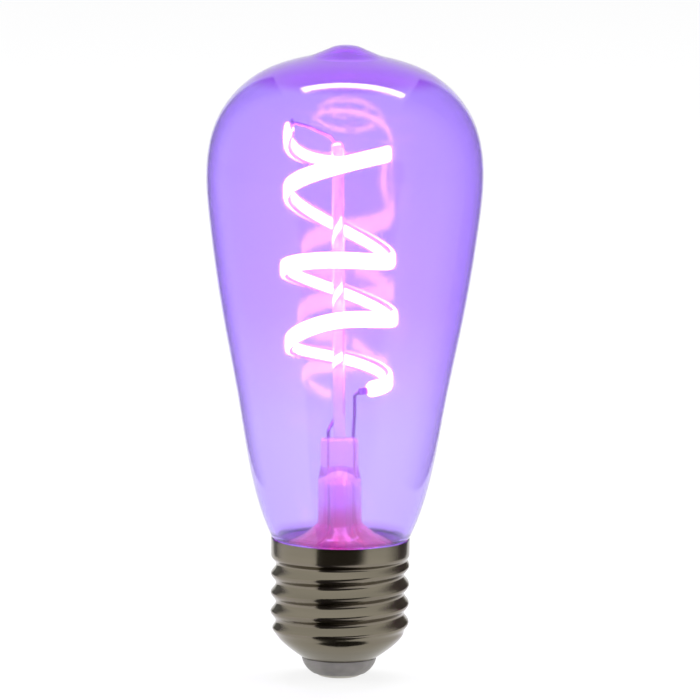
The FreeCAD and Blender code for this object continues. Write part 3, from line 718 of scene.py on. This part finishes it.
def build_room(scene):
    """Pale even surroundings, white where they are seen."""
    world = bpy.data.worlds.new("pale_room")
    scene.world = world
    world.use_nodes = True
    tree = world.node_tree
    tree.nodes.clear()
    room = add(tree, "Background", Color=linear("F2F2F4"), Strength=0.75)
    mix = seen_white(tree, room.outputs["Background"])
    output = add(tree, "OutputWorld")
    tree.links.new(mix.outputs["Shader"], output.inputs["Surface"])


def build_lamps():
    """Two soft boxes at the sides, and a strip light overhead that shows on the dome."""
    middle = (0, 0, 0.06)
    area_lamp("softbox_left", (-1.1, -0.9, 0.9), middle, (0.7, 1.2), 14)
    area_lamp("softbox_right", (1.2, -0.5, 0.7), middle, (0.6, 1.2), 10)
    area_lamp("strip_box", (0.1, 0.4, 1.25), (0.1, 0, 0.06), (1.1, 0.16), 10, reflected=True)


def build_cards():
    """Dark cards in front for the cap's thread, and one at each side for the edges of the glass."""
    apron = [(-0.95, -1.2), (1.3, -1.2), (-0.0095, -0.0125), (0.0125, -0.0125)]
    dark_card("front_apron", [(*spot, 0.4 * MM) for spot in apron], "35332E", 0.03)
    dark_card("front_card", upright((-1.1, -1.25), (1.6, -1.25), 0.5), "262522", 0.1)
    dark_card("right_flag", upright((0.09, -0.03), (0.09, 0.23), 0.24), "5C5950", 0.3)
    dark_card("left_flag", upright((-0.09, 0.02), (-0.09, 0.23), 0.24), "6A6C66", 0.3)


def build_camera(scene, settings):
    """A long lens, a little above the bulb and turned a little about its view axis."""
    target = Vector((settings.aim_side, 0, settings.aim_height))
    away = Vector((0, -math.cos(settings.elevation), math.sin(settings.elevation)))
    data = bpy.data.cameras.new("camera")
    data.lens = settings.lens
    data.clip_end = 50
    camera = bpy.data.objects.new("camera", data)
    scene.collection.objects.link(camera)
    camera.location = target + away * settings.distance
    turn = (-away).to_track_quat("-Z", "Y") @ Quaternion((0, 0, 1), settings.roll)
    camera.rotation_euler = turn.to_euler()
    scene.camera = camera


class BULB_OT_stage(bpy.types.Operator):
    """Set the floor, the surroundings, the lamps and the camera"""
    bl_idname = "bulb.stage"
    bl_label = "Stage"

    def execute(self, context):
        scene = context.scene
        build_floor(scene.bulb_stage)
        build_room(scene)
        build_lamps()
        build_cards()
        # Enough for light to cross the glass and the stem several times
        scene.cycles.max_bounces = 20
        scene.cycles.transmission_bounces = 20
        scene.view_settings.view_transform = "Standard"
        build_camera(scene, scene.bulb_stage)
        return {"FINISHED"}


class BULB_PT_panel(bpy.types.Panel):
    """Buttons for each part of the bulb, in the order that they are made"""
    bl_idname = "BULB_PT_panel"
    bl_label = "LED filament bulb"
    bl_space_type = "VIEW_3D"
    bl_region_type = "UI"
    bl_category = "Bulb"

    def draw(self, context):
        for operator in OPERATORS:
            self.layout.operator(operator.bl_idname)
        for name, group in GROUPS.items():
            for setting in group.__annotations__:
                self.layout.prop(getattr(context.scene, name), setting)


GROUPS = {"bulb_glass": BulbGlassSettings, "bulb_filament": BulbFilamentSettings,
          "bulb_cap": BulbCapSettings, "bulb_stage": BulbStageSettings}
OPERATORS = (BULB_OT_envelope, BULB_OT_filament, BULB_OT_cap, BULB_OT_stem, BULB_OT_driver,
             BULB_OT_stage)


def register():
    for name, group in GROUPS.items():
        bpy.utils.register_class(group)
        setattr(bpy.types.Scene, name, bpy.props.PointerProperty(type=group))
    for cls in OPERATORS + (BULB_PT_panel,):
        bpy.utils.register_class(cls)


def unregister():
    for cls in (BULB_PT_panel,) + OPERATORS[::-1]:
        bpy.utils.unregister_class(cls)
    for name, group in GROUPS.items():
        delattr(bpy.types.Scene, name)
        bpy.utils.unregister_class(group)


def main():
    register()
    bpy.ops.bulb.envelope()
    bpy.ops.bulb.filament()
    bpy.ops.bulb.cap()
    bpy.ops.bulb.stem()
    bpy.ops.bulb.driver()
    bpy.ops.bulb.stage()


if __name__ == "__main__":
    main()
